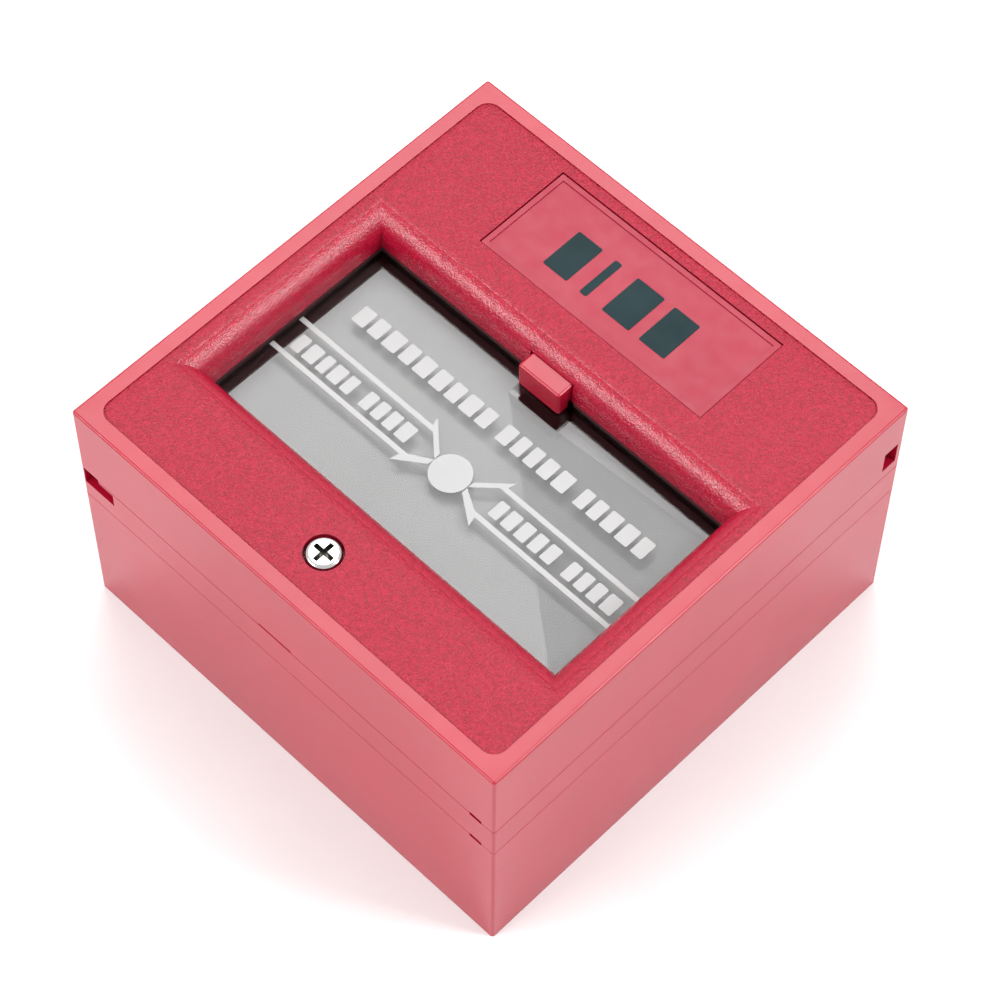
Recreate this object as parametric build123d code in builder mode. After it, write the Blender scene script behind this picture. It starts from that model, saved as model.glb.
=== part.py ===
from build123d import *
import os
from math import acos, atan2, cos, hypot, radians, sin, tan

# Manual call point, lying on its back: X to the right, Y up the wall, Z out of the wall.
# The origin is the centre of the back face. Lengths are in millimetres.

# ---------------------------------------------------------------- driving sizes
# casing
body_w = 86.0            # width, X
body_h = 86.0            # height up the wall, Y
box_depth = 28.1         # back box, Z
frame_depth = 6.7        # mounting frame, Z
cover_depth = 15.15      # front cover, Z
wall = 2.0               # side walls
floor_t = 2.0            # floor of the back box
deck_t = 2.0             # deck of the mounting frame
front_t = 2.0            # face of the front cover
corner_r = 0.5           # upright corners of the casing
inner_r = 0.75           # upright corners of the hollows
front_edge_r = 0.4       # edge round the face
seam_gap = 0.05          # frame to cover
seam_bevel = 0.1         # bevel along both parting lines
lip_t = 1.2              # locating lips of the frame
lip_l = 1.5
lip_gap = 0.2

# face of the cover
rim_w = 2.6              # smooth rim round the grained zone
zone_drop = 0.25         # grained zone below the rim
zone_r = 2.4
window_w = 71.0
window_h = 35.8
window_y = -5.4
bezel_r = 4.7            # rounding from the face down into the window
collar_drop = 6.7        # lower edge of the window collar below the rim
collar_t = 2.0
label_w = 45.0
label_gap = 3.2          # bezel rounding to label recess
label_top_gap = 1.9      # label recess to rim
label_recess = 0.9
label_t = 0.7
label_border = 1.0
label_step = 0.2
label_fit = 0.05
hinge_window_w = 2.9     # side windows near the hinge edge, along Y
hinge_window_h = 4.55
hinge_window_edge = 1.2  # from the top face
hinge_window_rise = 2.2  # above the parting line
ear_post_t = 2.2         # ears of the frame behind the side windows
ear_post_l = 4.2
ear_post_rise = 0.9
ear_post_inset = 0.1

# notches along the parting lines of the bottom side
pry_x = -1.3
pry_w = 6.8
pry_h = 0.5
slit_edge = 3.6          # slit centre from the right face
slit_w = 2.3
slit_h = 0.4             # to each side of a parting line
notch_edge = 0.6
notch_w = 6.3
notch_h = 2.9
notch_top = 0.4          # left below the parting line
notch_step_w = 3.2
notch_depth = 2.4
notch_block_over = 1.0   # corner block beyond the notch

# tongues, deck openings and small gaps
tongue_x0 = 14.0
tongue_x1 = 24.0
tongue_t = 1.8
tongue_gap = 0.3
tongue_step = 1.6        # above the parting line
tongue_root = 5.0
tongue_drop = 2.2        # below the parting line
deck_slot_end = 3.0      # beyond the lever
deck_slot_half = 4.2
hatch_share = 0.6        # of the frame screws' distance
hatch_edge = 14.0
tube_gap = 0.15
head_gap = 0.02
carrier_drop = 0.1
pane_bevel = 0.2
label_bevel = 0.15

# pane, gasket, carrier and plate
glass_t = 2.0
gasket_t = 1.3
pane_lap = 2.0           # pane beyond the window on each side
pane_gap = 0.3
rest_gap = 0.03
plate_margin = 1.2       # window edge to plate edge
plate_t = 3.0
plate_gap = 0.4
plate_notch_w = 9.8
plate_notch_h = 2.5
press_travel = 2.5
ledge_gap = 0.1
carrier_wall = 1.6
carrier_gap = 0.6        # above the deck
web_t = 1.3
stem_dx = 15.5           # stem from the lever's pivot
stem_r = 1.5
stem_gap = 0.1
stem_hole_gap = 1.1

# catch
catch_w = 8.4
catch_reach = 2.6        # head proud of the window's edge
catch_nose = 2.0         # part of the head that reaches down to the pane
catch_top_drop = 3.1     # top of the head below the rim
catch_travel = 2.5
catch_gap = 0.2
catch_lift = 0.35        # nose above the pane
catch_edge_r = 0.5
slide_w = 12.8
slide_t = 1.8
slide_l = 8.6
slide_gap = 0.3
slide_from_collar = 0.9
rail_start_gap = 0.3     # bezel rounding to the rails
rail_t = 1.5
rail_lip = 1.7
rail_lip_t = 1.0
catch_spring_closed = 2.5  # room left for the spring at full travel
end_t = 1.5

# springs
plate_spring_r = 2.2
plate_spring_wire = 0.5
plate_spring_turns = 4
plate_spring_x = 26.0
plate_spring_y = 11.0
catch_spring_r = 0.85
catch_spring_wire = 0.4
catch_spring_turns = 5
spring_gap = 0.05

# fasteners
cover_screw_share = 6.7 / 12.4  # of the way up from the rim to the bezel rounding
cover_head_r = 2.75
cover_head_h = 1.75
cover_head_edge_r = 0.7
cover_seat_r = 3.05
cover_seat_depth = 1.65
cover_shank_r = 1.45
cover_hole_r = 1.75      # also the thread bore, so that the screw swings clear
cover_thread_l = 4.7
screw_tube_r = 4.5
screw_tube_bore = 3.2
screw_web_t = 1.5
retainer_r = 2.9
retainer_t = 1.2
boss_r = 4.2
boss_h = 5.1             # above the parting line
insert_r = 2.6
insert_l = 8.0
screw_bevel = 0.5
frame_tip_bevel = 0.6
insert_bore = 1.75
cover_insert_l = 5.0
fix_x = 30.0             # frame screws
post_r = 4.2
frame_head_r = 3.1
frame_shank_r = 1.6
frame_hole_r = 1.9
frame_head_gap = 0.2
small_shank_r = 1.2
small_head_r = 2.2
small_head_h = 1.6
small_gap = 0.05
small_pass_gap = 0.4
small_bite = 5.0
pilot_extra = 1.0        # pilot hole beyond the screw
pilot_roof = 0.4         # left over a pilot hole in the cover
tip_gap = 0.5
carrier_screw_x = 28.0
carrier_tab_r = 3.2
carrier_tab_t = 2.0
carrier_boss_r = 3.0
recess_depth = 1.0
recess_slot = 0.6
frame_recess_span = 3.0
cover_recess_span = 3.6
cover_recess_slot = 0.8
cover_recess_depth = 1.2
small_recess_span = 2.4

# wall fixing and cable entry
slot_pitch = 60.0
slot_w = 4.4
slot_l = 8.0
entry_r = 8.0
entry_bore = 6.0
flange_r = 10.0
flange_t = 1.2
flange_gap = 0.3
flange_sink = 0.2
entry_step = 1.1

# board and switch
board_w = 50.0
board_h = 66.0
board_t = 1.6
board_screw_x = 21.0
board_screw_y = 29.0
board_post_r = 3.0
switch_below_deck = 2.3
switch_h = 10.2
switch_l = 20.0
switch_w = 6.4
switch_x = -2.0
pivot_inset = 1.5        # pivot from the case's end
pivot_rise = 0.5
ear_t = 1.4
ear_w = 3.0
ear_h = 1.6
pin_r = 0.5
pin_gap = 0.08
knuckle_r = 1.0
lever_l = 17.7
lever_t = 0.4
lever_w = 3.4
lever_tilt = 12.0        # degrees, at rest
plunger_dx = 6.0         # plunger from the pivot
plunger_w = 1.2
plunger_d = 2.5
plunger_l = 4.85
plunger_gap = 0.1
plunger_clear = 0.09
plunger_room = 1.0
terminal_pitch_switch = 7.0
lead_r = 0.5
lead_gap = 0.15
lead_l = 3.0
block_pitch = 5.08
block_ways = 4
block_d = 10.0
block_floor_gap = 2.2    # terminal block to the floor of the box
block_y = -22.0
block_wall = 1.5
cage_w = 3.4
cage_share = 3 / 7       # of the block's height
cage_l = 6.0
cage_t = 0.5
cage_gap = 0.1
cage_top_share = 2.5 / 9.8
clamp_head_r = 1.8
clamp_head_share = 1 / 7
clamp_shank_r = 1.0
clamp_gap = 0.15
clamp_sink = 0.4
resistor_x = 14.0
resistor_pitch = 4.5
resistor_y = 8.0
resistor_r = 1.2
resistor_l = 6.5
diode_x = -14.0
diode_r = 1.6
diode_l = 7.5
axial_lead_r = 0.35
axial_span = 5.5
axial_rise = 2.0

# ---------------------------------------------------------------- derived sizes
half_w = body_w / 2
half_h = body_h / 2
cavity_w = body_w - 2 * wall
cavity_h = body_h - 2 * wall
frame_z = box_depth
deck_z = frame_z + deck_t
seam_z = frame_z + frame_depth
cover_z = seam_z + seam_gap
front_z = cover_z + cover_depth
zone_z = front_z - zone_drop
plate_back_z = zone_z - front_t
collar_z = front_z - collar_drop
glass_z = collar_z - gasket_t - rest_gap
glass_back_z = glass_z - glass_t
plate_back = glass_back_z - plate_t
ledge_z = glass_back_z - press_travel - ledge_gap
carrier_z = deck_z + carrier_gap
web_z = carrier_z + web_t

window_top = window_y + window_h / 2
window_bottom = window_y - window_h / 2
label_low = window_top + bezel_r + label_gap
label_h = half_h - rim_w - label_top_gap - label_low
label_y = label_low + label_h / 2
face_low = rim_w - half_h
screw_y = face_low + (window_bottom - bezel_r - face_low) * cover_screw_share
collar_w = window_w + 2 * collar_t
collar_h = window_h + 2 * collar_t
pane_w = window_w + 2 * pane_lap
pane_h = window_h + 2 * pane_lap
pocket_w = pane_w + 2 * pane_gap
pocket_h = pane_h + 2 * pane_gap
carrier_w = pocket_w + 2 * carrier_wall
carrier_h = pocket_h + 2 * carrier_wall
plate_w = window_w - 2 * plate_margin
plate_h = window_h - 2 * plate_margin
well_w = plate_w + 2 * plate_gap
well_h = plate_h + 2 * plate_gap

switch_z = frame_z - switch_below_deck
board_z = switch_z - switch_h
pivot_x = switch_x - switch_l / 2 + pivot_inset
pivot_z = switch_z + pivot_rise
tilt = radians(lever_tilt)
stem_x = pivot_x + stem_dx
stem_z = pivot_z + (lever_t / 2 + stem_r + stem_gap + stem_dx * sin(tilt)) / cos(tilt)
plunger_x = pivot_x + plunger_dx
plunger_edge = plunger_dx - plunger_w / 2
plunger_z = pivot_z + plunger_edge * tan(tilt) - lever_t / 2 / cos(tilt) - plunger_clear
block_w = block_pitch * block_ways + 2 * cage_gap
board_back = board_z - board_t
block_z = floor_t + block_floor_gap
block_h = board_back - block_z
cage_h = block_h * cage_share
cage_from_board = block_h * cage_top_share
clamp_head_h = block_h * clamp_head_share

catch_top = front_z - catch_top_drop
catch_floor = glass_z + catch_lift
catch_front = window_top - catch_reach
slide_z = collar_z + slide_gap
slide_y = window_top + collar_t + slide_from_collar
rail_x = slide_w / 2 + slide_gap
rail_y = window_top + bezel_r + rail_start_gap
rail_end = catch_travel + catch_spring_closed
end_y = slide_y + slide_l + rail_end
slit_x = half_w - slit_edge
notch_x = notch_edge - half_w
tab_y = carrier_h / 2 + carrier_tab_r
tab_points = [(sx * carrier_screw_x, window_y + sy * tab_y) for sx in (-1, 1) for sy in (-1, 1)]
board_points = [(sx * board_screw_x, sy * board_screw_y) for sx in (-1, 1) for sy in (-1, 1)]
fix_points = [(-fix_x, 0), (fix_x, 0)]
way_xs = [(i - (block_ways - 1) / 2) * block_pitch for i in range(block_ways)]
lead_xs = [switch_x + i * terminal_pitch_switch for i in (-1, 0, 1)]


# ---------------------------------------------------------------- helpers
def block(x0, x1, y0, y1, z0, z1, mode=Mode.ADD):
    """Square-edged block between six limits."""
    with BuildSketch(Plane.XY.offset(z0)) as outline:
        with Locations(((x0 + x1) / 2, (y0 + y1) / 2)):
            Rectangle(x1 - x0, y1 - y0)
    extrude(outline.sketch, amount=z1 - z0, mode=mode)


def slab(w, h, r, z0, z1, y=0.0, mode=Mode.ADD):
    """Block with rounded upright corners, centred on X."""
    with BuildSketch(Plane.XY.offset(z0)) as outline:
        with Locations((0, y)):
            RectangleRounded(w, h, r)
    extrude(outline.sketch, amount=z1 - z0, mode=mode)


def ring(w, h, r, t, z0, z1, y=0.0):
    """Upright wall of thickness t just inside a rounded rectangle."""
    with BuildSketch(Plane.XY.offset(z0)) as outline:
        with Locations((0, y)):
            RectangleRounded(w, h, r)
            RectangleRounded(w - 2 * t, h - 2 * t, max(r - t, 0.3), mode=Mode.SUBTRACT)
    extrude(outline.sketch, amount=z1 - z0)


def posts(points, r, z0, z1, mode=Mode.ADD):
    """Round posts, or round holes, at the points."""
    with BuildSketch(Plane.XY.offset(z0)) as outline:
        with Locations(*points):
            Circle(r)
    extrude(outline.sketch, amount=z1 - z0, mode=mode)


def cross_recess(points, span, z_top, z_bottom, slot=recess_slot):
    """Cross-head recess cut between two heights."""
    with BuildSketch(Plane.XY.offset(z_bottom)) as outline:
        with Locations(*points):
            Rectangle(span, slot)
            Rectangle(slot, span)
            Circle(slot * 0.75)
    extrude(outline.sketch, amount=z_top - z_bottom, mode=Mode.SUBTRACT)


def within(edge, w, h, z):
    """Whether an edge lies at a height, on or in a rectangle round the window's centre."""
    c = edge.center()
    return abs(c.Z - z) < 0.01 and abs(c.X) < w / 2 + 0.1 and abs(c.Y - window_y) < h / 2 + 0.1


def axial_part(x, y, r, l):
    """Component lying along Y with both leads bent down to the board."""
    top = board_z + axial_rise
    with BuildSketch(Plane.XZ.offset(-(y + l / 2))) as body:
        with Locations((x, top)):
            Circle(r)
    extrude(body.sketch, amount=l)
    with BuildSketch(Plane.XZ.offset(-(y + axial_span))) as lead:
        with Locations((x, top)):
            Circle(axial_lead_r)
    extrude(lead.sketch, amount=2 * axial_span)
    posts([(x, y - axial_span), (x, y + axial_span)], axial_lead_r, board_z, top)
    with Locations((x, y - axial_span, top), (x, y + axial_span, top)):
        Sphere(axial_lead_r)


# ---------------------------------------------------------------- back box
with BuildPart() as back_box:
    slab(body_w, body_h, corner_r, 0, box_depth)
    slab(cavity_w, cavity_h, inner_r, floor_t, box_depth, mode=Mode.SUBTRACT)
    chamfer(back_box.faces().sort_by(Axis.Z)[-1].outer_wire().edges(), seam_bevel)
    posts(fix_points, post_r, floor_t, box_depth)
    posts(fix_points, insert_r, box_depth - insert_l, box_depth, mode=Mode.SUBTRACT)
    posts([(0, 0)], entry_r, 0, floor_t, mode=Mode.SUBTRACT)
    posts([(0, 0)], flange_r + flange_gap, 0, entry_step, mode=Mode.SUBTRACT)
    with BuildSketch() as wall_slots:
        with GridLocations(0, slot_pitch, 1, 2):
            SlotOverall(slot_l, slot_w, rotation=90)
    extrude(amount=floor_t, mode=Mode.SUBTRACT)
    block(slit_x - slit_w / 2, slit_x + slit_w / 2, -half_h, wall - half_h,
          box_depth - slit_h, box_depth, mode=Mode.SUBTRACT)
back_box.part.label = "back_box"

with BuildPart() as box_inserts:
    posts(fix_points, insert_r, box_depth - insert_l, box_depth)
    posts(fix_points, insert_bore, box_depth - insert_l, box_depth, mode=Mode.SUBTRACT)
box_inserts.part.label = "box_inserts"

with BuildPart() as cable_grommet:
    posts([(0, 0)], flange_r, flange_sink, entry_step)
    posts([(0, 0)], entry_r, entry_step, floor_t)
    posts([(0, 0)], flange_r, floor_t, floor_t + flange_t)
    rims = cable_grommet.edges().filter_by(GeomType.CIRCLE).sort_by(Axis.Z)[-1]
    fillet(rims, flange_t / 2)
    posts([(0, 0)], entry_bore, flange_sink, floor_t + flange_t, mode=Mode.SUBTRACT)
cable_grommet.part.label = "cable_grommet"

# ---------------------------------------------------------------- mounting frame
lip_w = cavity_w - 2 * lip_gap
lip_h = cavity_h - 2 * lip_gap
hinge_room = 7.0                    # clear of the lip behind the top wall
ear_x = lip_w / 2
ear_top = cover_z + hinge_window_rise + hinge_window_h + ear_post_rise
ear_y1 = lip_h / 2 - ear_post_inset
ear_y0 = ear_y1 - ear_post_l
notch_z0 = seam_z - notch_top - notch_h
boss_z = seam_z + boss_h
with BuildPart() as mounting_frame:
    slab(body_w, body_h, corner_r, frame_z, seam_z)
    chamfer(mounting_frame.faces().sort_by(Axis.Z)[-1].outer_wire().edges(), seam_bevel)
    chamfer(mounting_frame.faces().sort_by(Axis.Z)[0].outer_wire().edges(), seam_bevel)
    slab(cavity_w, cavity_h, inner_r, deck_z, seam_z, mode=Mode.SUBTRACT)
    # lip down into the box, and shelf and lip up into the cover on three sides
    ring(lip_w, lip_h, inner_r, lip_t, frame_z - lip_l, frame_z)
    ring(cavity_w, cavity_h, inner_r, lip_t + lip_gap, seam_z - lip_l, seam_z)
    ring(lip_w, lip_h, inner_r, lip_t, seam_z - lip_l, seam_z + lip_l)
    block(-cavity_w / 2, cavity_w / 2, cavity_h / 2 - hinge_room, cavity_h / 2,
          deck_z, seam_z + lip_l, mode=Mode.SUBTRACT)
    # ears behind the cover's side windows
    for side in (-1, 1):
        edges = sorted((side * ear_x, side * (ear_x - ear_post_t)))
        block(edges[0], edges[1], ear_y0, ear_y1, deck_z, ear_top)
    # boss for the cover screw
    posts([(0, screw_y)], boss_r, deck_z, boss_z)
    posts([(0, screw_y)], insert_r, boss_z - cover_insert_l, boss_z, mode=Mode.SUBTRACT)
    # corner block with the notch cut in it
    block(-cavity_w / 2, notch_x + notch_w + notch_block_over,
          -cavity_h / 2, -cavity_h / 2 + notch_depth, deck_z, seam_z)
    block(notch_x, notch_x + notch_w, -half_h, notch_depth - half_h,
          notch_z0, seam_z - notch_top, mode=Mode.SUBTRACT)
    block(notch_x, notch_x + notch_step_w, -half_h, wall - half_h,
          notch_z0, seam_z, mode=Mode.SUBTRACT)
    for z0, z1 in ((frame_z, frame_z + slit_h), (seam_z - slit_h, seam_z)):
        block(slit_x - slit_w / 2, slit_x + slit_w / 2, -half_h, wall - half_h, z0, z1, mode=Mode.SUBTRACT)
    # room in the deck for the lever and the stem, and a wiring hatch
    block(pivot_x - deck_slot_end, pivot_x + lever_l + deck_slot_end,
          window_y - deck_slot_half, window_y + deck_slot_half, frame_z, deck_z, mode=Mode.SUBTRACT)
    block(-fix_x * hatch_share, fix_x * hatch_share,
          window_y + hatch_edge, half_h - hatch_edge, frame_z, deck_z, mode=Mode.SUBTRACT)
    with Locations(*[(x, y, deck_z) for x, y in fix_points]):
        CounterSinkHole(frame_hole_r, frame_head_r + frame_head_gap, depth=deck_t, counter_sink_angle=90)
    # posts that carry the board
    posts(board_points, board_post_r, board_z, frame_z)
    pilot_top = board_z + small_bite + pilot_extra
    posts(board_points, small_shank_r + small_gap, board_z, pilot_top, mode=Mode.SUBTRACT)
mounting_frame.part.label = "mounting_frame"

with BuildPart() as cover_insert:
    posts([(0, screw_y)], insert_r, boss_z - cover_insert_l, boss_z)
    posts([(0, screw_y)], cover_hole_r, boss_z - cover_insert_l, boss_z, mode=Mode.SUBTRACT)
cover_insert.part.label = "cover_insert"

frame_head_z = deck_z - frame_head_gap / 2
frame_tip_z = box_depth - insert_l + frame_tip_bevel
frame_cone = frame_head_r - frame_shank_r
with BuildPart() as frame_screws:
    for x, y in fix_points:
        with BuildSketch(Plane(origin=(x, y, 0), x_dir=(1, 0, 0), z_dir=(0, -1, 0))) as profile:
            with BuildLine() as half_outline:
                Polyline((0, frame_head_z), (frame_head_r, frame_head_z),
                         (frame_shank_r, frame_head_z - frame_cone),
                         (frame_shank_r, frame_tip_z + frame_tip_bevel),
                         (frame_shank_r - frame_tip_bevel, frame_tip_z), (0, frame_tip_z), (0, frame_head_z))
            make_face()
        revolve(axis=Axis((x, y, 0), (0, 0, 1)))
    cross_recess(fix_points, frame_recess_span, frame_head_z, frame_head_z - recess_depth)
frame_screws.part.label = "frame_screws"

# ---------------------------------------------------------------- front cover
tube_z = boss_z + tube_gap
head_seat_z = zone_z - cover_seat_depth
web_back_z = head_seat_z - screw_web_t
carrier_top = collar_z - carrier_drop
slot_half = catch_w / 2 + catch_gap
with BuildPart() as front_cover:
    slab(body_w, body_h, corner_r, cover_z, front_z)
    fillet(front_cover.faces().sort_by(Axis.Z)[-1].edges(), front_edge_r)
    chamfer(front_cover.faces().sort_by(Axis.Z)[0].edges(), seam_bevel)
    slab(body_w - 2 * rim_w, body_h - 2 * rim_w, zone_r, zone_z, front_z, mode=Mode.SUBTRACT)
    # hollow below the collar, then the hollow around it
    slab(cavity_w, cavity_h, inner_r, cover_z, collar_z, mode=Mode.SUBTRACT)
    with BuildSketch(Plane.XY.offset(collar_z)) as around_collar:
        RectangleRounded(cavity_w, cavity_h, inner_r)
        with Locations((0, window_y)):
            Rectangle(collar_w, collar_h, mode=Mode.SUBTRACT)
    extrude(amount=plate_back_z - collar_z, mode=Mode.SUBTRACT)
    root_edges = front_cover.edges().filter_by(lambda e: within(e, collar_w, collar_h, plate_back_z))
    fillet(root_edges, bezel_r - collar_t)
    # window with its rounded bezel
    with BuildSketch(Plane.XY.offset(collar_z)) as opening:
        with Locations((0, window_y)):
            Rectangle(window_w, window_h)
    extrude(amount=front_z - collar_z, mode=Mode.SUBTRACT)
    bezel_edges = front_cover.edges().filter_by(lambda e: within(e, window_w, window_h, zone_z))
    fillet(bezel_edges, bezel_r)
    # label recess, screw seat and tube, bosses for the carrier
    block(-label_w / 2, label_w / 2, label_y - label_h / 2, label_y + label_h / 2,
          zone_z - label_recess, zone_z, mode=Mode.SUBTRACT)
    posts([(0, screw_y)], screw_tube_r, tube_z, plate_back_z)
    posts([(0, screw_y)], screw_tube_bore, tube_z, web_back_z, mode=Mode.SUBTRACT)
    posts([(0, screw_y)], cover_hole_r, web_back_z, head_seat_z, mode=Mode.SUBTRACT)
    posts([(0, screw_y)], cover_seat_r, head_seat_z, zone_z, mode=Mode.SUBTRACT)
    posts(tab_points, carrier_boss_r, carrier_top, plate_back_z)
    posts(tab_points, small_shank_r + small_gap, carrier_top, plate_back_z - pilot_roof, mode=Mode.SUBTRACT)
    # channel for the catch, with its slot through the collar
    for side in (-1, 1):
        x0, x1 = sorted((side * (rail_x - rail_lip), side * (rail_x + rail_t)))
        block(x0, x1, rail_y, end_y, slide_z - slide_gap - rail_lip_t, plate_back_z)
    block(-rail_x - rail_t, rail_x + rail_t, end_y, end_y + end_t,
          slide_z - slide_gap - rail_lip_t, plate_back_z)
    block(-rail_x, rail_x, rail_y, end_y,
          slide_z - slide_gap, slide_z + slide_t + slide_gap, mode=Mode.SUBTRACT)
    block(-slot_half, slot_half, window_y, rail_y, collar_z, catch_top + catch_gap, mode=Mode.SUBTRACT)
    # side windows near the hinge edge
    window_y1 = half_h - hinge_window_edge
    window_z0 = cover_z + hinge_window_rise
    for side in (-1, 1):
        x0, x1 = sorted((side * half_w, side * cavity_w / 2))
        block(x0, x1, window_y1 - hinge_window_w, window_y1,
              window_z0, window_z0 + hinge_window_h, mode=Mode.SUBTRACT)
    # tongues that hook behind the top wall of the frame
    for side in (-1, 1):
        x0, x1 = sorted((side * tongue_x0, side * tongue_x1))
        block(x0, x1, cavity_h / 2 - tongue_t, cavity_h / 2, cover_z + tongue_step, cover_z + tongue_root)
        block(x0, x1, cavity_h / 2 - tongue_t, cavity_h / 2 - tongue_gap,
              cover_z - tongue_drop, cover_z + tongue_step)
    # notches in the lower edge of the bottom side
    block(pry_x - pry_w / 2, pry_x + pry_w / 2, -half_h, wall - half_h,
          cover_z, cover_z + pry_h, mode=Mode.SUBTRACT)
    block(slit_x - slit_w / 2, slit_x + slit_w / 2, -half_h, wall - half_h,
          cover_z, cover_z + slit_h, mode=Mode.SUBTRACT)
    block(notch_x, notch_x + notch_step_w, -half_h, wall - half_h,
          cover_z, cover_z + pry_h, mode=Mode.SUBTRACT)
front_cover.part.label = "front_cover"

with BuildPart() as label_plate:
    label_z = zone_z - label_recess
    edge_w = label_w - 2 * label_fit
    edge_h = label_h - 2 * label_fit
    block(-edge_w / 2, edge_w / 2, label_y - edge_h / 2, label_y + edge_h / 2, label_z, label_z + label_t)
    chamfer(label_plate.faces().sort_by(Axis.Z)[-1].edges(), label_bevel)
    panel_w = edge_w - 2 * label_border
    panel_h = edge_h - 2 * label_border
    block(-panel_w / 2, panel_w / 2, label_y - panel_h / 2, label_y + panel_h / 2,
          label_z + label_t - label_step, label_z + label_t, mode=Mode.SUBTRACT)
label_plate.part.label = "label_plate"

# ---------------------------------------------------------------- cover screw
screw_tip = boss_z - cover_thread_l
head_z = head_seat_z + head_gap
head_top = head_z + cover_head_h
with BuildPart() as cover_screw:
    posts([(0, screw_y)], cover_shank_r, screw_tip, head_z)
    chamfer(cover_screw.edges().group_by(Axis.Z)[0], screw_bevel)
    posts([(0, screw_y)], cover_head_r, head_z, head_top)
    fillet(cover_screw.edges().group_by(Axis.Z)[-1], cover_head_edge_r)
    cross_recess([(0, screw_y)], cover_recess_span, head_top, head_top - cover_recess_depth,
                 cover_recess_slot)
cover_screw.part.label = "cover_screw"

with BuildPart() as screw_retainer:
    posts([(0, screw_y)], retainer_r, web_back_z - retainer_t - 0.1, web_back_z - 0.1)
    posts([(0, screw_y)], cover_shank_r, web_back_z - retainer_t - 0.1, web_back_z - 0.1, mode=Mode.SUBTRACT)
screw_retainer.part.label = "screw_retainer"

# ---------------------------------------------------------------- pane, plate and carrier
with BuildPart() as glass_gasket:
    gasket_w = pocket_w - 2 * pane_gap - 0.2
    gasket_h = pocket_h - 2 * pane_gap - 0.2
    ring(gasket_w, gasket_h, 1.0, pane_lap - 0.3, collar_z - gasket_t, collar_z, y=window_y)
    block(-slot_half - 0.2, slot_half + 0.2, window_y, window_y + pane_h / 2,
          collar_z - gasket_t, collar_z, mode=Mode.SUBTRACT)
glass_gasket.part.label = "glass_gasket"

with BuildPart() as glass_pane:
    slab(pane_w, pane_h, 1.0, glass_back_z, glass_z, y=window_y)
    chamfer(glass_pane.edges().group_by(Axis.Z)[-1], pane_bevel)
glass_pane.part.label = "glass_pane"

plate_top_y = window_y + plate_h / 2
with BuildPart() as pressure_plate:
    slab(plate_w, plate_h, 0.6, plate_back, glass_back_z, y=window_y)
    block(-plate_notch_w / 2, plate_notch_w / 2, plate_top_y - plate_notch_h, plate_top_y,
          plate_back, glass_back_z, mode=Mode.SUBTRACT)
    posts([(stem_x, window_y)], stem_r, stem_z, plate_back)
    with Locations((stem_x, window_y, stem_z)):
        Sphere(stem_r)
    posts([(stem_x, window_y)], 2 * stem_r, web_z + press_travel + 0.3, plate_back)
pressure_plate.part.label = "pressure_plate"

with BuildPart() as glass_carrier:
    slab(carrier_w, carrier_h, 1.2, carrier_z, carrier_top, y=window_y)
    slab(pocket_w, pocket_h, 0.6, ledge_z, carrier_top, y=window_y, mode=Mode.SUBTRACT)
    slab(well_w, well_h, 0.6, web_z, ledge_z, y=window_y, mode=Mode.SUBTRACT)
    posts(tab_points, carrier_tab_r, carrier_top - carrier_tab_t, carrier_top)
    for x, y in tab_points:
        y0, y1 = sorted((y, y - carrier_tab_r * (1 if y > window_y else -1)))
        block(x - carrier_tab_r, x + carrier_tab_r, y0, y1, carrier_top - carrier_tab_t, carrier_top)
    posts(tab_points, small_shank_r + small_pass_gap,
          carrier_top - carrier_tab_t, carrier_top, mode=Mode.SUBTRACT)
    posts([(stem_x, window_y)], stem_r + stem_hole_gap, carrier_z, web_z, mode=Mode.SUBTRACT)
glass_carrier.part.label = "glass_carrier"

tab_back = carrier_top - carrier_tab_t
with BuildPart() as carrier_screws:
    posts(tab_points, small_head_r, tab_back - small_head_h, tab_back)
    chamfer(carrier_screws.edges().group_by(Axis.Z)[0], screw_bevel)
    posts(tab_points, small_shank_r, tab_back, plate_back_z - pilot_roof - tip_gap)
    head_back = tab_back - small_head_h
    cross_recess(tab_points, small_recess_span, head_back + recess_depth, head_back)
carrier_screws.part.label = "carrier_screws"

wire_r = plate_spring_wire / 2
plate_spring_h = plate_back - web_z - 2 * (wire_r + spring_gap)
with BuildPart() as plate_springs:
    for sx in (-1, 1):
        for sy in (-1, 1):
            foot = (sx * plate_spring_x, window_y + sy * plate_spring_y, web_z + wire_r + spring_gap)
            with BuildLine() as plate_coil:
                Helix(plate_spring_h / plate_spring_turns, plate_spring_h, plate_spring_r, center=foot)
            with BuildSketch(Plane(origin=plate_coil.line @ 0, z_dir=plate_coil.line % 0)):
                Circle(wire_r)
            sweep(is_frenet=True)
plate_springs.part.label = "plate_springs"

# ---------------------------------------------------------------- catch
with BuildPart() as catch:
    block(-catch_w / 2, catch_w / 2, catch_front, slide_y + 1, slide_z, catch_top)
    block(-catch_w / 2, catch_w / 2, catch_front, catch_front + catch_nose, catch_floor, catch_top)
    head_edges = catch.edges().filter_by(lambda e: e.center().Y < slide_y - 0.5)
    front_edges = head_edges.filter_by(lambda e: e.center().Z > slide_z + 0.5)
    top_edges = front_edges.filter_by(lambda e: e.center().Z > catch_top - 0.1)
    nose_edges = front_edges.filter_by(lambda e: e.center().Z <= catch_top - 0.1)
    fillet(top_edges + nose_edges.filter_by(lambda e: e.center().Y < catch_front + 0.1), catch_edge_r)
    block(-slide_w / 2, slide_w / 2, slide_y, slide_y + slide_l, slide_z, slide_z + slide_t)
catch.part.label = "catch"

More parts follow.
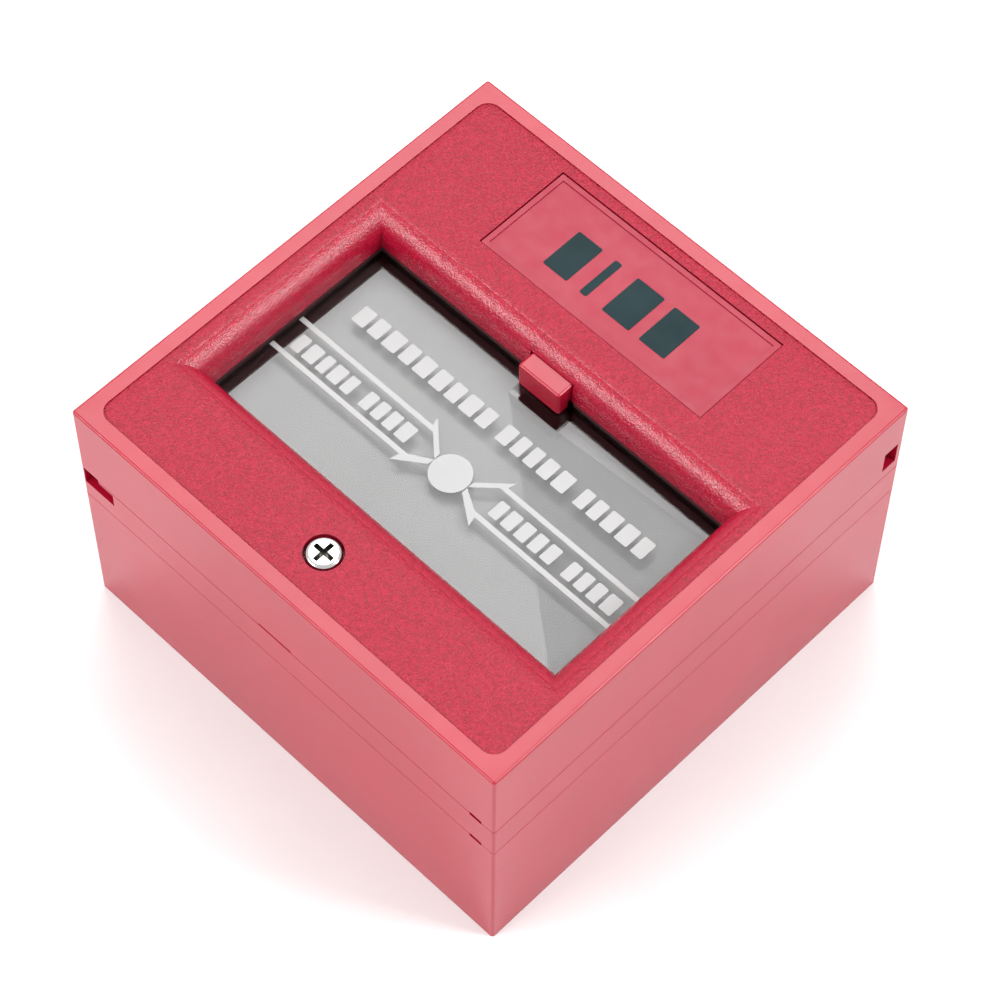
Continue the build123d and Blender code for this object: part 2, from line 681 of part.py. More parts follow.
catch_wire_r = catch_spring_wire / 2
catch_spring_y = slide_y + slide_l + catch_wire_r + spring_gap
catch_spring_h = rail_end - 2 * (catch_wire_r + spring_gap)
catch_spring_z = slide_z + slide_t / 2
with BuildPart() as catch_spring:
    seat = (0, catch_spring_y, catch_spring_z)
    catch_pitch = catch_spring_h / catch_spring_turns
    with BuildLine() as catch_coil:
        Helix(catch_pitch, catch_spring_h, catch_spring_r, center=seat, direction=(0, 1, 0))
    with BuildSketch(Plane(origin=catch_coil.line @ 0, z_dir=catch_coil.line % 0)):
        Circle(catch_wire_r)
    sweep(is_frenet=True)
catch_spring.part.label = "catch_spring"

# ---------------------------------------------------------------- board and switch
with BuildPart() as circuit_board:
    slab(board_w, board_h, 1.5, board_back, board_z)
    posts(board_points, small_shank_r + small_pass_gap, board_back, board_z, mode=Mode.SUBTRACT)
    posts([(x, window_y) for x in lead_xs], lead_r + lead_gap, board_back, board_z, mode=Mode.SUBTRACT)
    posts([(x, block_y) for x in way_xs], lead_r + lead_gap, board_back, board_z, mode=Mode.SUBTRACT)
circuit_board.part.label = "circuit_board"

with BuildPart() as board_screws:
    posts(board_points, small_head_r, board_back - small_head_h, board_back)
    chamfer(board_screws.edges().group_by(Axis.Z)[0], screw_bevel)
    posts(board_points, small_shank_r, board_back, board_z + small_bite)
    head_back = board_back - small_head_h
    cross_recess(board_points, small_recess_span, head_back + recess_depth, head_back)
board_screws.part.label = "board_screws"

case_x0 = switch_x - switch_l / 2
case_x1 = switch_x + switch_l / 2
case_y0 = window_y - switch_w / 2
case_y1 = window_y + switch_w / 2
pocket_x = plunger_w / 2 + plunger_gap
pocket_y = plunger_d / 2 + plunger_gap
with BuildPart() as switch_case:
    block(case_x0, case_x1, case_y0, case_y1, board_z, switch_z)
    chamfer(switch_case.edges().filter_by(Axis.Z), 0.5)
    block(case_x0, case_x0 + ear_w, case_y0, case_y0 + ear_t, switch_z - 1, switch_z + ear_h)
    block(case_x0, case_x0 + ear_w, case_y1 - ear_t, case_y1, switch_z - 1, switch_z + ear_h)
    block(case_x0, case_x0 + ear_w + 0.4, case_y0 + ear_t, case_y1 - ear_t,
          switch_z - 0.7, switch_z, mode=Mode.SUBTRACT)
    block(plunger_x - pocket_x, plunger_x + pocket_x, window_y - pocket_y, window_y + pocket_y,
          plunger_z - plunger_l - plunger_room, switch_z, mode=Mode.SUBTRACT)
    with BuildSketch(Plane.XZ.offset(-case_y1)) as pin_holes:
        with Locations((pivot_x, pivot_z)):
            Circle(pin_r)
    extrude(amount=switch_w, mode=Mode.SUBTRACT)
switch_case.part.label = "switch_case"

with BuildPart() as lever_pin:
    with BuildSketch(Plane.XZ.offset(-case_y1)) as pin_section:
        with Locations((pivot_x, pivot_z)):
            Circle(pin_r)
    extrude(amount=switch_w)
lever_pin.part.label = "lever_pin"

with BuildPart() as switch_lever:
    arm_plane = Plane(origin=(pivot_x, window_y, pivot_z), x_dir=(cos(tilt), 0, sin(tilt)), z_dir=(0, -1, 0))
    with BuildSketch(arm_plane) as lever_side:
        Circle(knuckle_r)
        with Locations((lever_l / 2, 0)):
            Rectangle(lever_l, lever_t)
        Circle(pin_r + pin_gap, mode=Mode.SUBTRACT)
    extrude(amount=lever_w / 2, both=True)
switch_lever.part.label = "switch_lever"

with BuildPart() as switch_plunger:
    block(plunger_x - plunger_w / 2, plunger_x + plunger_w / 2, window_y - plunger_d / 2,
          window_y + plunger_d / 2, plunger_z - plunger_l, plunger_z)
    chamfer(switch_plunger.faces().sort_by(Axis.Z)[-1].edges().filter_by(Axis.Y), 0.2)
switch_plunger.part.label = "switch_plunger"

with BuildPart() as switch_terminals:
    posts([(x, window_y) for x in lead_xs], lead_r, board_z - lead_l, board_z)
switch_terminals.part.label = "switch_terminals"

# ---------------------------------------------------------------- field terminals
cage_z1 = board_back - cage_from_board
cage_z0 = cage_z1 - cage_h
cage_y1 = block_y + block_d / 2 - block_wall
cage_y0 = cage_y1 - cage_l
way_half = cage_w / 2 + cage_gap
with BuildPart() as terminal_block:
    block(-block_w / 2, block_w / 2, block_y - block_d / 2, block_y + block_d / 2, block_z, board_back)
    chamfer(terminal_block.faces().sort_by(Axis.Z)[0].edges().filter_by(Axis.X), 0.8)
    for x in way_xs:
        block(x - way_half, x + way_half, cage_y0 - cage_gap, block_y + block_d / 2,
              cage_z0 - cage_gap, cage_z1 + cage_gap, mode=Mode.SUBTRACT)
    posts([(x, (cage_y0 + cage_y1) / 2) for x in way_xs], clamp_head_r + clamp_gap,
          block_z, cage_z0, mode=Mode.SUBTRACT)
    posts([(x, block_y) for x in way_xs], lead_r + lead_gap, cage_z1, board_back, mode=Mode.SUBTRACT)
terminal_block.part.label = "terminal_block"

screw_points = [(x, (cage_y0 + cage_y1) / 2) for x in way_xs]
with BuildPart() as terminal_clamps:
    for x in way_xs:
        block(x - cage_w / 2, x + cage_w / 2, cage_y0, cage_y1, cage_z0, cage_z1)
        block(x - cage_w / 2 + cage_t, x + cage_w / 2 - cage_t, cage_y0, cage_y1,
              cage_z0 + cage_t, cage_z1 - cage_t, mode=Mode.SUBTRACT)
    posts(screw_points, clamp_shank_r + small_gap, cage_z0, cage_z0 + cage_t, mode=Mode.SUBTRACT)
    posts([(x, block_y) for x in way_xs], lead_r, cage_z1, board_z + 1)
terminal_clamps.part.label = "terminal_clamps"

clamp_head_z = block_z + clamp_sink
with BuildPart() as terminal_screws:
    posts(screw_points, clamp_head_r, clamp_head_z, clamp_head_z + clamp_head_h)
    posts(screw_points, clamp_shank_r, clamp_head_z + clamp_head_h, cage_z0 + 2 * cage_t)
    for x, y in screw_points:
        block(x - clamp_head_r, x + clamp_head_r, y - recess_slot / 2, y + recess_slot / 2,
              clamp_head_z, clamp_head_z + clamp_head_h / 2, mode=Mode.SUBTRACT)
terminal_screws.part.label = "terminal_screws"

with BuildPart() as line_resistors:
    axial_part(resistor_x, resistor_y, resistor_r, resistor_l)
    axial_part(resistor_x + resistor_pitch, resistor_y, resistor_r, resistor_l)
line_resistors.part.label = "line_resistors"

with BuildPart() as suppressor_diode:
    axial_part(diode_x, resistor_y, diode_r, diode_l)
suppressor_diode.part.label = "suppressor_diode"

# ---------------------------------------------------------------- files
os.makedirs("parts", exist_ok=True)
export_step(back_box.part, "parts/back_box.step")
export_step(box_inserts.part, "parts/box_inserts.step")
export_step(cable_grommet.part, "parts/cable_grommet.step")
export_step(mounting_frame.part, "parts/mounting_frame.step")
export_step(cover_insert.part, "parts/cover_insert.step")
export_step(frame_screws.part, "parts/frame_screws.step")
export_step(front_cover.part, "parts/front_cover.step")
export_step(label_plate.part, "parts/label_plate.step")
export_step(cover_screw.part, "parts/cover_screw.step")
export_step(screw_retainer.part, "parts/screw_retainer.step")
export_step(glass_gasket.part, "parts/glass_gasket.step")
export_step(glass_pane.part, "parts/glass_pane.step")
export_step(pressure_plate.part, "parts/pressure_plate.step")
export_step(glass_carrier.part, "parts/glass_carrier.step")
export_step(carrier_screws.part, "parts/carrier_screws.step")
export_step(plate_springs.part, "parts/plate_springs.step")
export_step(catch.part, "parts/catch.step")
export_step(catch_spring.part, "parts/catch_spring.step")
export_step(circuit_board.part, "parts/circuit_board.step")
export_step(board_screws.part, "parts/board_screws.step")
export_step(switch_case.part, "parts/switch_case.step")
export_step(lever_pin.part, "parts/lever_pin.step")
export_step(switch_lever.part, "parts/switch_lever.step")
export_step(switch_plunger.part, "parts/switch_plunger.step")
export_step(switch_terminals.part, "parts/switch_terminals.step")
export_step(terminal_block.part, "parts/terminal_block.step")
export_step(terminal_clamps.part, "parts/terminal_clamps.step")
export_step(terminal_screws.part, "parts/terminal_screws.step")
export_step(line_resistors.part, "parts/line_resistors.step")
export_step(suppressor_diode.part, "parts/suppressor_diode.step")

# Ratios of the switch to the pressed plate: the lever stays just under the stem's round tip,
# and the plunger just under the lever.
pressed_rise = stem_z - press_travel - pivot_z
reach = hypot(pressed_rise, stem_dx)
pressed_tilt = acos((lever_t / 2 + stem_r + 0.7 * stem_gap) / reach) - atan2(stem_dx, pressed_rise)
lever_ratio = (tilt - pressed_tilt) / press_travel
pressed_under = pivot_z + plunger_edge * tan(pressed_tilt) - lever_t / 2 / cos(pressed_tilt)
plunger_ratio = (plunger_z - (pressed_under - 0.7 * plunger_clear)) / press_travel
print(f"lever {1000 * lever_ratio:.2f} rad per m, plunger {plunger_ratio:.4f} m per m")
print(f"pivot {pivot_x:.3f} {window_y:.3f} {pivot_z:.3f}")
print(f"hinge {half_h:.3f} {seam_z:.3f}, screw {screw_y:.3f}")
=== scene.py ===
import math
import random

import bmesh
import bpy
from mathutils import Matrix, Vector


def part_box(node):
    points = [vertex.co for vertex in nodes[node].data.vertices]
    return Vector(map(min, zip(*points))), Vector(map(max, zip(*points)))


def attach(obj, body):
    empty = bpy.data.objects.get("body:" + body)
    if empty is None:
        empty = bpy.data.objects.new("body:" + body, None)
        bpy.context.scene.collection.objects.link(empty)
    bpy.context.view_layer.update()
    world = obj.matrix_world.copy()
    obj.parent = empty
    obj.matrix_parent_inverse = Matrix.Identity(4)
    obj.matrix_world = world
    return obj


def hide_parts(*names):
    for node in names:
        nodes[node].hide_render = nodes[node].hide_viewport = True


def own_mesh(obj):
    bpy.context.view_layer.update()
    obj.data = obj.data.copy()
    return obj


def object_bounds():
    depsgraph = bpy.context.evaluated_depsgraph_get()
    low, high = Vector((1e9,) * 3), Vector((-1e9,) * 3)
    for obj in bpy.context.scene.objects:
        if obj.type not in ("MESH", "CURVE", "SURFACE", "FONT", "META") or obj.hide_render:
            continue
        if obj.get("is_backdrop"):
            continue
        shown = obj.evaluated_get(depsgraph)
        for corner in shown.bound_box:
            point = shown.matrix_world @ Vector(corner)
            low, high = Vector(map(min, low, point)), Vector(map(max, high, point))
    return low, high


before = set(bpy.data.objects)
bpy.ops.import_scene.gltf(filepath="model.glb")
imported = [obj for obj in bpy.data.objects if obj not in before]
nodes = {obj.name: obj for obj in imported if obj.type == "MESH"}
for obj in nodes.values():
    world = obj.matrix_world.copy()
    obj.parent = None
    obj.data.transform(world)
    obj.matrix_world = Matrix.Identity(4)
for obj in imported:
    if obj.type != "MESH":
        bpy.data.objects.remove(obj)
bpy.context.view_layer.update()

MM = 0.001
rng = random.Random(7)


# ------------------------------------------------------------------ materials
COAT_ROUGHNESS = 0.08


class Graph:
    """Short calls for the nodes of one material."""

    def __init__(self, name):
        self.mat = bpy.data.materials.new(name)
        self.mat.use_nodes = True
        self.tree = self.mat.node_tree
        self.tree.nodes.clear()
        self.out = self.tree.nodes.new("ShaderNodeOutputMaterial")
        self.coord = self.tree.nodes.new("ShaderNodeTexCoord").outputs["Object"]

    def node(self, kind, **inputs):
        n = self.tree.nodes.new("ShaderNode" + kind)
        for key, value in inputs.items():
            self.put(n.inputs[int(key[1:])] if key[0] == "i" and key[1:].isdigit() else n.inputs[key], value)
        return n

    def put(self, socket, value):
        if isinstance(value, bpy.types.NodeSocket):
            self.tree.links.new(value, socket)
        else:
            socket.default_value = value

    def noise(self, scale, detail=2.0, rough=0.5, stretch=None):
        at = self.coord
        if stretch:
            at = self.node("Mapping", Vector=self.coord, Scale=stretch).outputs[0]
        return self.node("TexNoise", Vector=at, Scale=scale, Detail=detail, Roughness=rough).outputs["Fac"]

    def math(self, op, a, b=0.0):
        n = self.node("Math", i0=a, i1=b)
        n.operation = op
        return n.outputs[0]

    def span(self, value, low, high, start=0.3, end=0.7):
        n = self.tree.nodes.new("ShaderNodeMapRange")
        ends = (("Value", value), ("From Min", start), ("From Max", end), ("To Min", low), ("To Max", high))
        for key, v in ends:
            self.put(n.inputs[key], v)
        return n.outputs[0]

    def mix(self, fac, a, b):
        n = self.tree.nodes.new("ShaderNodeMix")
        n.data_type = "RGBA"
        self.put(n.inputs[0], fac)
        self.put(n.inputs[6], a if isinstance(a, bpy.types.NodeSocket) else (*a, 1))
        self.put(n.inputs[7], b if isinstance(b, bpy.types.NodeSocket) else (*b, 1))
        return n.outputs[2]

    def bump(self, height, distance, strength=1.0, under=None):
        n = self.node("Bump", Height=height, Distance=distance, Strength=strength)
        if under:
            self.put(n.inputs["Normal"], under)
        return n.outputs[0]


def shade(c, k):
    return tuple(min(1.0, v * k) for v in c)


def solid(name, colour, rough, metal=0.0, vary=0.06, cloud=60.0, fine=2500.0, fine_depth=4e-6,
          wave_depth=2.5e-5, rough_vary=0.05, stretch=None, coat=0.0, ior=1.5):
    """Moulded, cast or plated stock: clouded colour, uneven gloss, a fine skin and a slow waviness."""
    g = Graph(name)
    cloud_f = g.noise(cloud, 3.0)
    colour_s = g.mix(g.span(cloud_f, 0.0, 1.0), shade(colour, 1 - vary), shade(colour, 1 + vary))
    skin = g.noise(fine, 2.0, stretch=stretch)
    gloss = g.span(g.noise(cloud * 6, 3.0), max(0.02, rough - rough_vary), rough + rough_vary)
    normal = g.bump(skin, fine_depth, under=g.bump(g.noise(35.0, 1.0), wave_depth))
    b = g.node("BsdfPrincipled", **{"Base Color": colour_s, "Roughness": gloss, "Metallic": metal,
                                    "Normal": normal, "IOR": ior, "Coat Weight": coat,
                                    "Coat Roughness": COAT_ROUGHNESS})
    g.put(g.out.inputs["Surface"], b.outputs[0])
    return g.mat


RED = (0.365, 0.0045, 0.0230)
FACE_RED = (0.350, 0.0050, 0.0270)


def red_plastic(name, grained, zone=None):
    """Glossy red; the face inside the smooth rim has a spark-eroded grain."""
    g = Graph(name)
    cloud = g.span(g.noise(45.0, 3.0), 0.0, 1.0)
    base = g.mix(cloud, shade(RED, 0.95), shade(RED, 1.05))
    fine = g.noise(3400.0, 2.0, 0.6)
    coarse = g.noise(1700.0, 2.0, 0.6)
    gloss = g.span(g.noise(220.0, 3.0), 0.17, 0.25)
    slow = g.bump(g.noise(30.0, 1.0), 4e-5)
    if grained:
        half, floor, top = zone
        p = g.node("SeparateXYZ", Vector=g.coord).outputs
        in_x = g.math("LESS_THAN", g.math("ABSOLUTE", p[0]), half)
        in_y = g.math("LESS_THAN", g.math("ABSOLUTE", p[1]), half)
        in_z = g.math("MULTIPLY", g.math("GREATER_THAN", p[2], floor), g.math("LESS_THAN", p[2], top))
        mask = g.math("MULTIPLY", g.math("MULTIPLY", in_x, in_y), in_z)
        # the rounding down to the window is worn smoother than the flat face
        flat = g.span(p[2], 0.0, 1.0, top - 0.5 * MM, top - ZONE_DROP)
        dull = g.math("MULTIPLY", flat, 0.20)
        gloss = g.math("ADD", gloss, g.math("MULTIPLY", mask, dull))
        grain = g.math("ADD", g.math("MULTIPLY", fine, 0.45), g.math("MULTIPLY", coarse, 0.55))
        depth = g.math("MULTIPLY", mask, g.math("ADD", g.math("MULTIPLY", flat, 0.74), 0.26))
        skin = g.math("ADD", g.math("MULTIPLY", grain, depth), g.math("MULTIPLY", fine, 0.02))
        normal = g.bump(skin, 4.2e-4, under=slow)
        speckled = g.mix(g.span(grain, 0.0, 1.0, 0.40, 0.60), shade(FACE_RED, 0.78), shade(FACE_RED, 1.17))
        base = g.mix(mask, base, speckled)
    else:
        normal = g.bump(fine, 2.5e-6, under=slow)
    b = g.node("BsdfPrincipled", **{"Base Color": base, "Roughness": gloss, "Normal": normal, "IOR": 1.5})
    g.put(g.out.inputs["Surface"], b.outputs[0])
    return g.mat


def pane_material():
    """Thin clear sheet: sees straight through, with Fresnel gloss and faint smears."""
    g = Graph("pane_clear")
    gloss = g.span(g.noise(90.0, 4.0), 0.03, 0.07)
    shine = g.node("BsdfPrincipled", **{"Base Color": (0.92, 0.92, 0.92, 1), "Roughness": gloss, "IOR": 1.5,
                                        "Specular IOR Level": 0.5, "Metallic": 1.0})
    clear = g.node("BsdfTransparent", Color=(0.98, 0.98, 0.98, 1))
    fac = g.node("Fresnel", IOR=1.5).outputs[0]
    m = g.node("MixShader", i0=fac, i1=clear.outputs[0], i2=shine.outputs[0])
    g.put(g.out.inputs["Surface"], m.outputs[0])
    return g.mat


def screw_material(z_crown):
    """Bright plating, with painted shade darkening the driver recess, which is also given rougher gloss."""
    g = Graph("screw_bright")
    p = g.node("SeparateXYZ", Vector=g.coord).outputs
    recess_shade_depth = g.span(p[2], 1.0, 0.0, z_crown - 0.55 * MM, z_crown - 0.25 * MM)
    near_x = g.math("LESS_THAN", g.math("ABSOLUTE", p[0]), RECESS_HALF)
    from_y = g.math("ABSOLUTE", g.math("SUBTRACT", p[1], SCREW_Y))
    inside = g.math("MULTIPLY", g.math("MULTIPLY", near_x, g.math("LESS_THAN", from_y, RECESS_HALF)), recess_shade_depth)
    # painted shade: the plating colour goes near black inside the driver recess, where shade falls
    colour = g.mix(inside, (0.62, 0.62, 0.61), (0.12, 0.11, 0.10))
    gloss = g.math("ADD", g.span(g.noise(900.0, 3.0), 0.10, 0.22), g.math("MULTIPLY", inside, 0.3))
    normal = g.bump(g.noise(1400.0, 3.0), 6e-6)
    b = g.node("BsdfPrincipled", **{"Base Color": colour, "Roughness": gloss, "Metallic": 1.0,
                                    "Normal": normal})
    g.put(g.out.inputs["Surface"], b.outputs[0])
    return g.mat


screw_low, screw_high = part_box("cover_screw")
SCREW_Y = (screw_low.y + screw_high.y) / 2
RECESS_HALF = 2.0 * MM      # half the square round the driver recess where shade is painted
cover_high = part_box("front_cover")[1]
gasket_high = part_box("glass_gasket")[1]
RIM = 2.6 * MM
ZONE_DROP = 0.25 * MM
ZONE = (cover_high.x - RIM, gasket_high.z - 0.1 * MM, cover_high.z - ZONE_DROP / 2)

MATS = {
    "red_face": red_plastic("red_face", True, ZONE),
    "red_side": red_plastic("red_side", False),
    "red_label": solid("red_label", (0.315, 0.006, 0.028), 0.44, vary=0.04, fine_depth=3e-6),
    "pane_clear": pane_material(),
    "plate_grey": solid("plate_grey", (0.405, 0.402, 0.402), 0.50, vary=0.03, cloud=90.0, fine=700.0,
                        fine_depth=2e-7, wave_depth=6e-6, rough_vary=0.03),
    "rubber": solid("rubber", (0.050, 0.008, 0.010), 0.62, vary=0.15, fine_depth=1.2e-5),
    "black": solid("black", (0.034, 0.009, 0.010), 0.42, vary=0.12, fine_depth=8e-6),
    "nylon": solid("nylon", (0.72, 0.70, 0.64), 0.40, vary=0.04),
    "bright": screw_material(screw_high.z),
    "steel": solid("steel", (0.60, 0.60, 0.60), 0.28, metal=1.0, stretch=(1, 1, 14), rough_vary=0.07),
    "brass": solid("brass", (0.72, 0.50, 0.20), 0.26, metal=1.0, stretch=(1, 1, 10), rough_vary=0.06),
    "tinned": solid("tinned", (0.66, 0.66, 0.63), 0.34, metal=1.0, vary=0.08),
    "green": solid("green", (0.030, 0.230, 0.090), 0.36, vary=0.07),
    "board": solid("board", (0.010, 0.110, 0.040), 0.30, vary=0.10, cloud=300.0, stretch=(9, 1, 1), coat=0.4),
    "tan": solid("tan", (0.56, 0.40, 0.20), 0.33, vary=0.07),
    "epoxy": solid("epoxy", (0.020, 0.020, 0.024), 0.38, vary=0.12),
    "print_white": solid("print_white", (0.40, 0.40, 0.40), 0.50, vary=0.02, fine_depth=6e-6),
    "print_dark": solid("print_dark", (0.010, 0.026, 0.030), 0.55, vary=0.15, ior=1.25),
    "track": solid("track", (0.030, 0.200, 0.070), 0.28, vary=0.08, coat=0.4),
}
USES = {
    "red_face": ["front_cover"],
    "red_side": ["back_box", "mounting_frame", "catch"],
    "red_label": ["label_plate"],
    "pane_clear": ["glass_pane"],
    "plate_grey": ["pressure_plate"],
    "rubber": ["glass_gasket", "cable_grommet"],
    "black": ["glass_carrier", "switch_case"],
    "nylon": ["switch_plunger", "screw_retainer"],
    "bright": ["cover_screw"],
    "steel": ["frame_screws", "carrier_screws", "board_screws", "plate_springs", "catch_spring",
              "switch_lever", "lever_pin", "terminal_screws"],
    "brass": ["box_inserts", "cover_insert"],
    "tinned": ["switch_terminals", "terminal_clamps"],
    "green": ["terminal_block"],
    "board": ["circuit_board"],
    "tan": ["line_resistors"],
    "epoxy": ["suppressor_diode"],
}
for key, names in USES.items():
    for n in names:
        mesh = nodes[n].data
        mesh.materials.clear()
        mesh.materials.append(MATS[key])


# --------------------------------------------------------------------- pieces
def finish_piece(name, bm, key, body, smooth=False):
    bmesh.ops.recalc_face_normals(bm, faces=bm.faces)
    mesh = bpy.data.meshes.new(name)
    bm.to_mesh(mesh)
    bm.free()
    mesh.materials.append(MATS[key])
    for p in mesh.polygons:
        p.use_smooth = smooth
    obj = bpy.data.objects.new(name, mesh)
    bpy.context.scene.collection.objects.link(obj)
    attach(obj, body)
    return obj


def prism(bm, outline, z0, z1):
    """A closed upright prism over a flat outline."""
    low = [bm.verts.new((x, y, z0)) for x, y in outline]
    high = [bm.verts.new((x, y, z1)) for x, y in outline]
    bm.faces.new(low[::-1])
    bm.faces.new(high)
    for i in range(len(outline)):
        j = (i + 1) % len(outline)
        bm.faces.new((low[i], low[j], high[j], high[i]))


def rounded(x0, x1, y0, y1, r, steps=4):
    """Outline of a rectangle with rounded corners."""
    r = min(r, (x1 - x0) / 2.01, (y1 - y0) / 2.01)
    out = []
    corners = ((x1 - r, y1 - r, 0), (x0 + r, y1 - r, 90), (x0 + r, y0 + r, 180), (x1 - r, y0 + r, 270))
    for cx, cy, a in corners:
        for i in range(steps + 1):
            t = math.radians(a + 90 * i / steps)
            out.append((cx + r * math.cos(t), cy + r * math.sin(t)))
    return out


def stroke(p, q, w):
    """Outline of a straight bar from p to q."""
    d = Vector(q) - Vector(p)
    n = Vector((-d.y, d.x)).normalized() * w / 2
    return [tuple(Vector(p) + n), tuple(Vector(p) - n), tuple(Vector(q) - n), tuple(Vector(q) + n)]


def word(bm, x0, x1, y0, y1, count, z0, z1, gap):
    """A row of plain blocks that stands in for a printed word."""
    widths = [rng.uniform(0.82, 1.15) for _ in range(count)]
    unit = (x1 - x0 - gap * (count - 1)) / sum(widths)
    x = x0
    for w in widths:
        prism(bm, rounded(x, x + w * unit, y0, y1, 0.25 * MM), z0, z1)
        x += w * unit + gap


# prints on the pane, in millimetres where a name ends in _MM
pane_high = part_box("glass_pane")[1]
PRINT_LIFT = 0.002 * MM     # keeps a print's underside off the face it lies on
PRINT_T = 0.03 * MM
ink0, ink1 = pane_high.z + PRINT_LIFT, pane_high.z + PRINT_LIFT + PRINT_T
DOT_Y, DOT_R = -8.35 * MM, 3.35 * MM
DOT_SIDES = 48
EDGE_X = 35.4 * MM
SHAFT_END = 7.8 * MM
SHAFT_W = 0.85 * MM
SHAFTS_MM = (-4.65, -10.8)
BARBS_MM = (
    ((8.2, -2.8), (3.5, -7.1), (3.5, -8.2), (6.9, -5.075), (7.8, -5.075), (7.8, -4.225)),
    ((8.2, -12.9), (3.5, -9.5), (3.5, -8.4), (6.9, -10.375), (7.8, -10.375), (7.8, -11.225)),
)
TITLE_MM = ((-30.0, -1.9, 9), (0.15, 14.0, 5), (16.0, 29.8, 5))       # from, to, blocks
TITLE_LOW, TITLE_HIGH, TITLE_GAP = 0.5 * MM, 3.9 * MM, 0.75 * MM
LINE_MM = ((-33.0, -20.6, 5), (-18.4, -8.6, 4), (8.6, 21.0, 5), (23.2, 33.0, 4))
LINE_LOW, LINE_HIGH, LINE_GAP = -9.5 * MM, -6.3 * MM, 0.65 * MM

bm = bmesh.new()
dot_angles = [t / DOT_SIDES * math.tau for t in range(DOT_SIDES)]
prism(bm, [(DOT_R * math.cos(a), DOT_Y + DOT_R * math.sin(a)) for a in dot_angles], ink0, ink1)
finish_piece("pane_print_dot", bm, "print_white", "element")

bm = bmesh.new()
for side in (-1, 1):
    for y in SHAFTS_MM:
        prism(bm, stroke((side * EDGE_X, y * MM), (side * SHAFT_END, y * MM), SHAFT_W), ink0, ink1)
    for barb in BARBS_MM:
        prism(bm, [(side * x * MM, y * MM) for x, y in barb], ink0, ink1)
finish_piece("pane_print_arrows", bm, "print_white", "element")

bm = bmesh.new()
for x0, x1, count in TITLE_MM:
    word(bm, x0 * MM, x1 * MM, TITLE_LOW, TITLE_HIGH, count, ink0, ink1, TITLE_GAP)
for x0, x1, count in LINE_MM:
    word(bm, x0 * MM, x1 * MM, LINE_LOW, LINE_HIGH, count, ink0, ink1, LINE_GAP)
finish_piece("pane_print_blocks", bm, "print_white", "element")

# dark blocks on the label
label_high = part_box("label_plate")[1]
PANEL_DROP = 0.2 * MM       # face of the panel below the label's edge
LABEL_MM = ((-13.2, -8.3), (-5.7, -4.3), (-1.1, 4.4), (6.4, 11.5))
LABEL_LOW, LABEL_HIGH, LABEL_R = 24.4 * MM, 32.4 * MM, 0.3 * MM
LABEL_T = 0.04 * MM
panel_z = label_high.z - PANEL_DROP
bm = bmesh.new()
for x0, x1 in LABEL_MM:
    outline = rounded(x0 * MM, x1 * MM, LABEL_LOW, LABEL_HIGH, LABEL_R)
    prism(bm, outline, panel_z + PRINT_LIFT, panel_z + LABEL_T)
finish_piece("label_blocks", bm, "print_dark", "cover")


COIL_FLAT = 0.1             # share of each end that lies flat


def coil(bm, start, axis, length, radius, wire_r, turns, seg=28, side=10):
    """A closed tube along a helix that begins and ends flat."""
    axis = Vector(axis)
    u = axis.orthogonal().normalized()
    v = axis.cross(u)
    count = int(turns * seg)
    rings = []
    ring_angles = [b / side * math.tau for b in range(side)]
    for i in range(count + 1):
        t = i / count
        a = t * turns * math.tau
        ease = min(max((t - COIL_FLAT) / (1 - 2 * COIL_FLAT), 0.0), 1.0)
        out = u * math.cos(a) + v * math.sin(a)
        centre = Vector(start) + axis * (wire_r + (length - 2 * wire_r) * ease) + out * radius
        rings.append([bm.verts.new(centre + (out * math.cos(b) + axis * math.sin(b)) * wire_r)
                      for b in ring_angles])
    for r0, r1 in zip(rings, rings[1:]):
        for i in range(side):
            j = (i + 1) % side
            bm.faces.new((r0[i], r0[j], r1[j], r1[i]))
    bm.faces.new(rings[0][::-1])
    bm.faces.new(rings[-1])


PLATE_SPRING_TURNS = 4
CATCH_SPRING_TURNS = 5
low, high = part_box("plate_springs")
wire = 0.25 * MM
coil_r = 2.2 * MM
bm = bmesh.new()
for x in (low.x + coil_r + wire, high.x - coil_r - wire):
    for y in (low.y + coil_r + wire, high.y - coil_r - wire):
        coil(bm, (x, y, low.z), (0, 0, 1), high.z - low.z, coil_r, wire, PLATE_SPRING_TURNS)
springs = finish_piece("plate_spring_coils", bm, "steel", "cover", True)
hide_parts("plate_springs")
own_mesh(springs)

low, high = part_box("catch_spring")
mid = (low + high) / 2
wire = 0.2 * MM
bm = bmesh.new()
coil_r = (high.x - low.x) / 2 - wire
coil(bm, (mid.x, low.y, mid.z), (0, 1, 0), high.y - low.y, coil_r, wire, CATCH_SPRING_TURNS)
spring = finish_piece("catch_spring_coil", bm, "steel", "cover", True)
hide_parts("catch_spring")
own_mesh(spring)

# tracks and pads on the board
low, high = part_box("circuit_board")
block_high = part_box("terminal_block")[1]
TRACK_T = 0.035 * MM
TRACK_W = 0.7 * MM
EARTH_W = 1.1 * MM
EARTH_X, EARTH_HALF = 22.5 * MM, 24 * MM
WAYS = 4
PITCH = 5.08 * MM
LANE_PITCH = 1.6 * MM
LANE_X = -16.5 * MM         # where the lanes pass beside the switch
LANE_CLOSE = 0.8            # the lanes draw together past the switch
top0, top1 = high.z, high.z + TRACK_T
bm = bmesh.new()
for i in range(WAYS):
    x = (i - 1.5) * PITCH
    lane = (i - 1.5) * LANE_PITCH
    y0 = block_high.y + 0.3 * MM
    path = [(x, y0), (x, y0 + 2.2 * MM), (lane + LANE_X, y0 + 6.0 * MM), (lane + LANE_X, 14 * MM),
            (lane * LANE_CLOSE, 20 * MM), (lane * LANE_CLOSE, 28 * MM)]
    for p, q in zip(path, path[1:]):
        prism(bm, stroke(p, q, TRACK_W), top0, top1)
for x in (-EARTH_X, EARTH_X):
    prism(bm, stroke((x, -EARTH_HALF), (x, EARTH_HALF), EARTH_W), top0, top1)
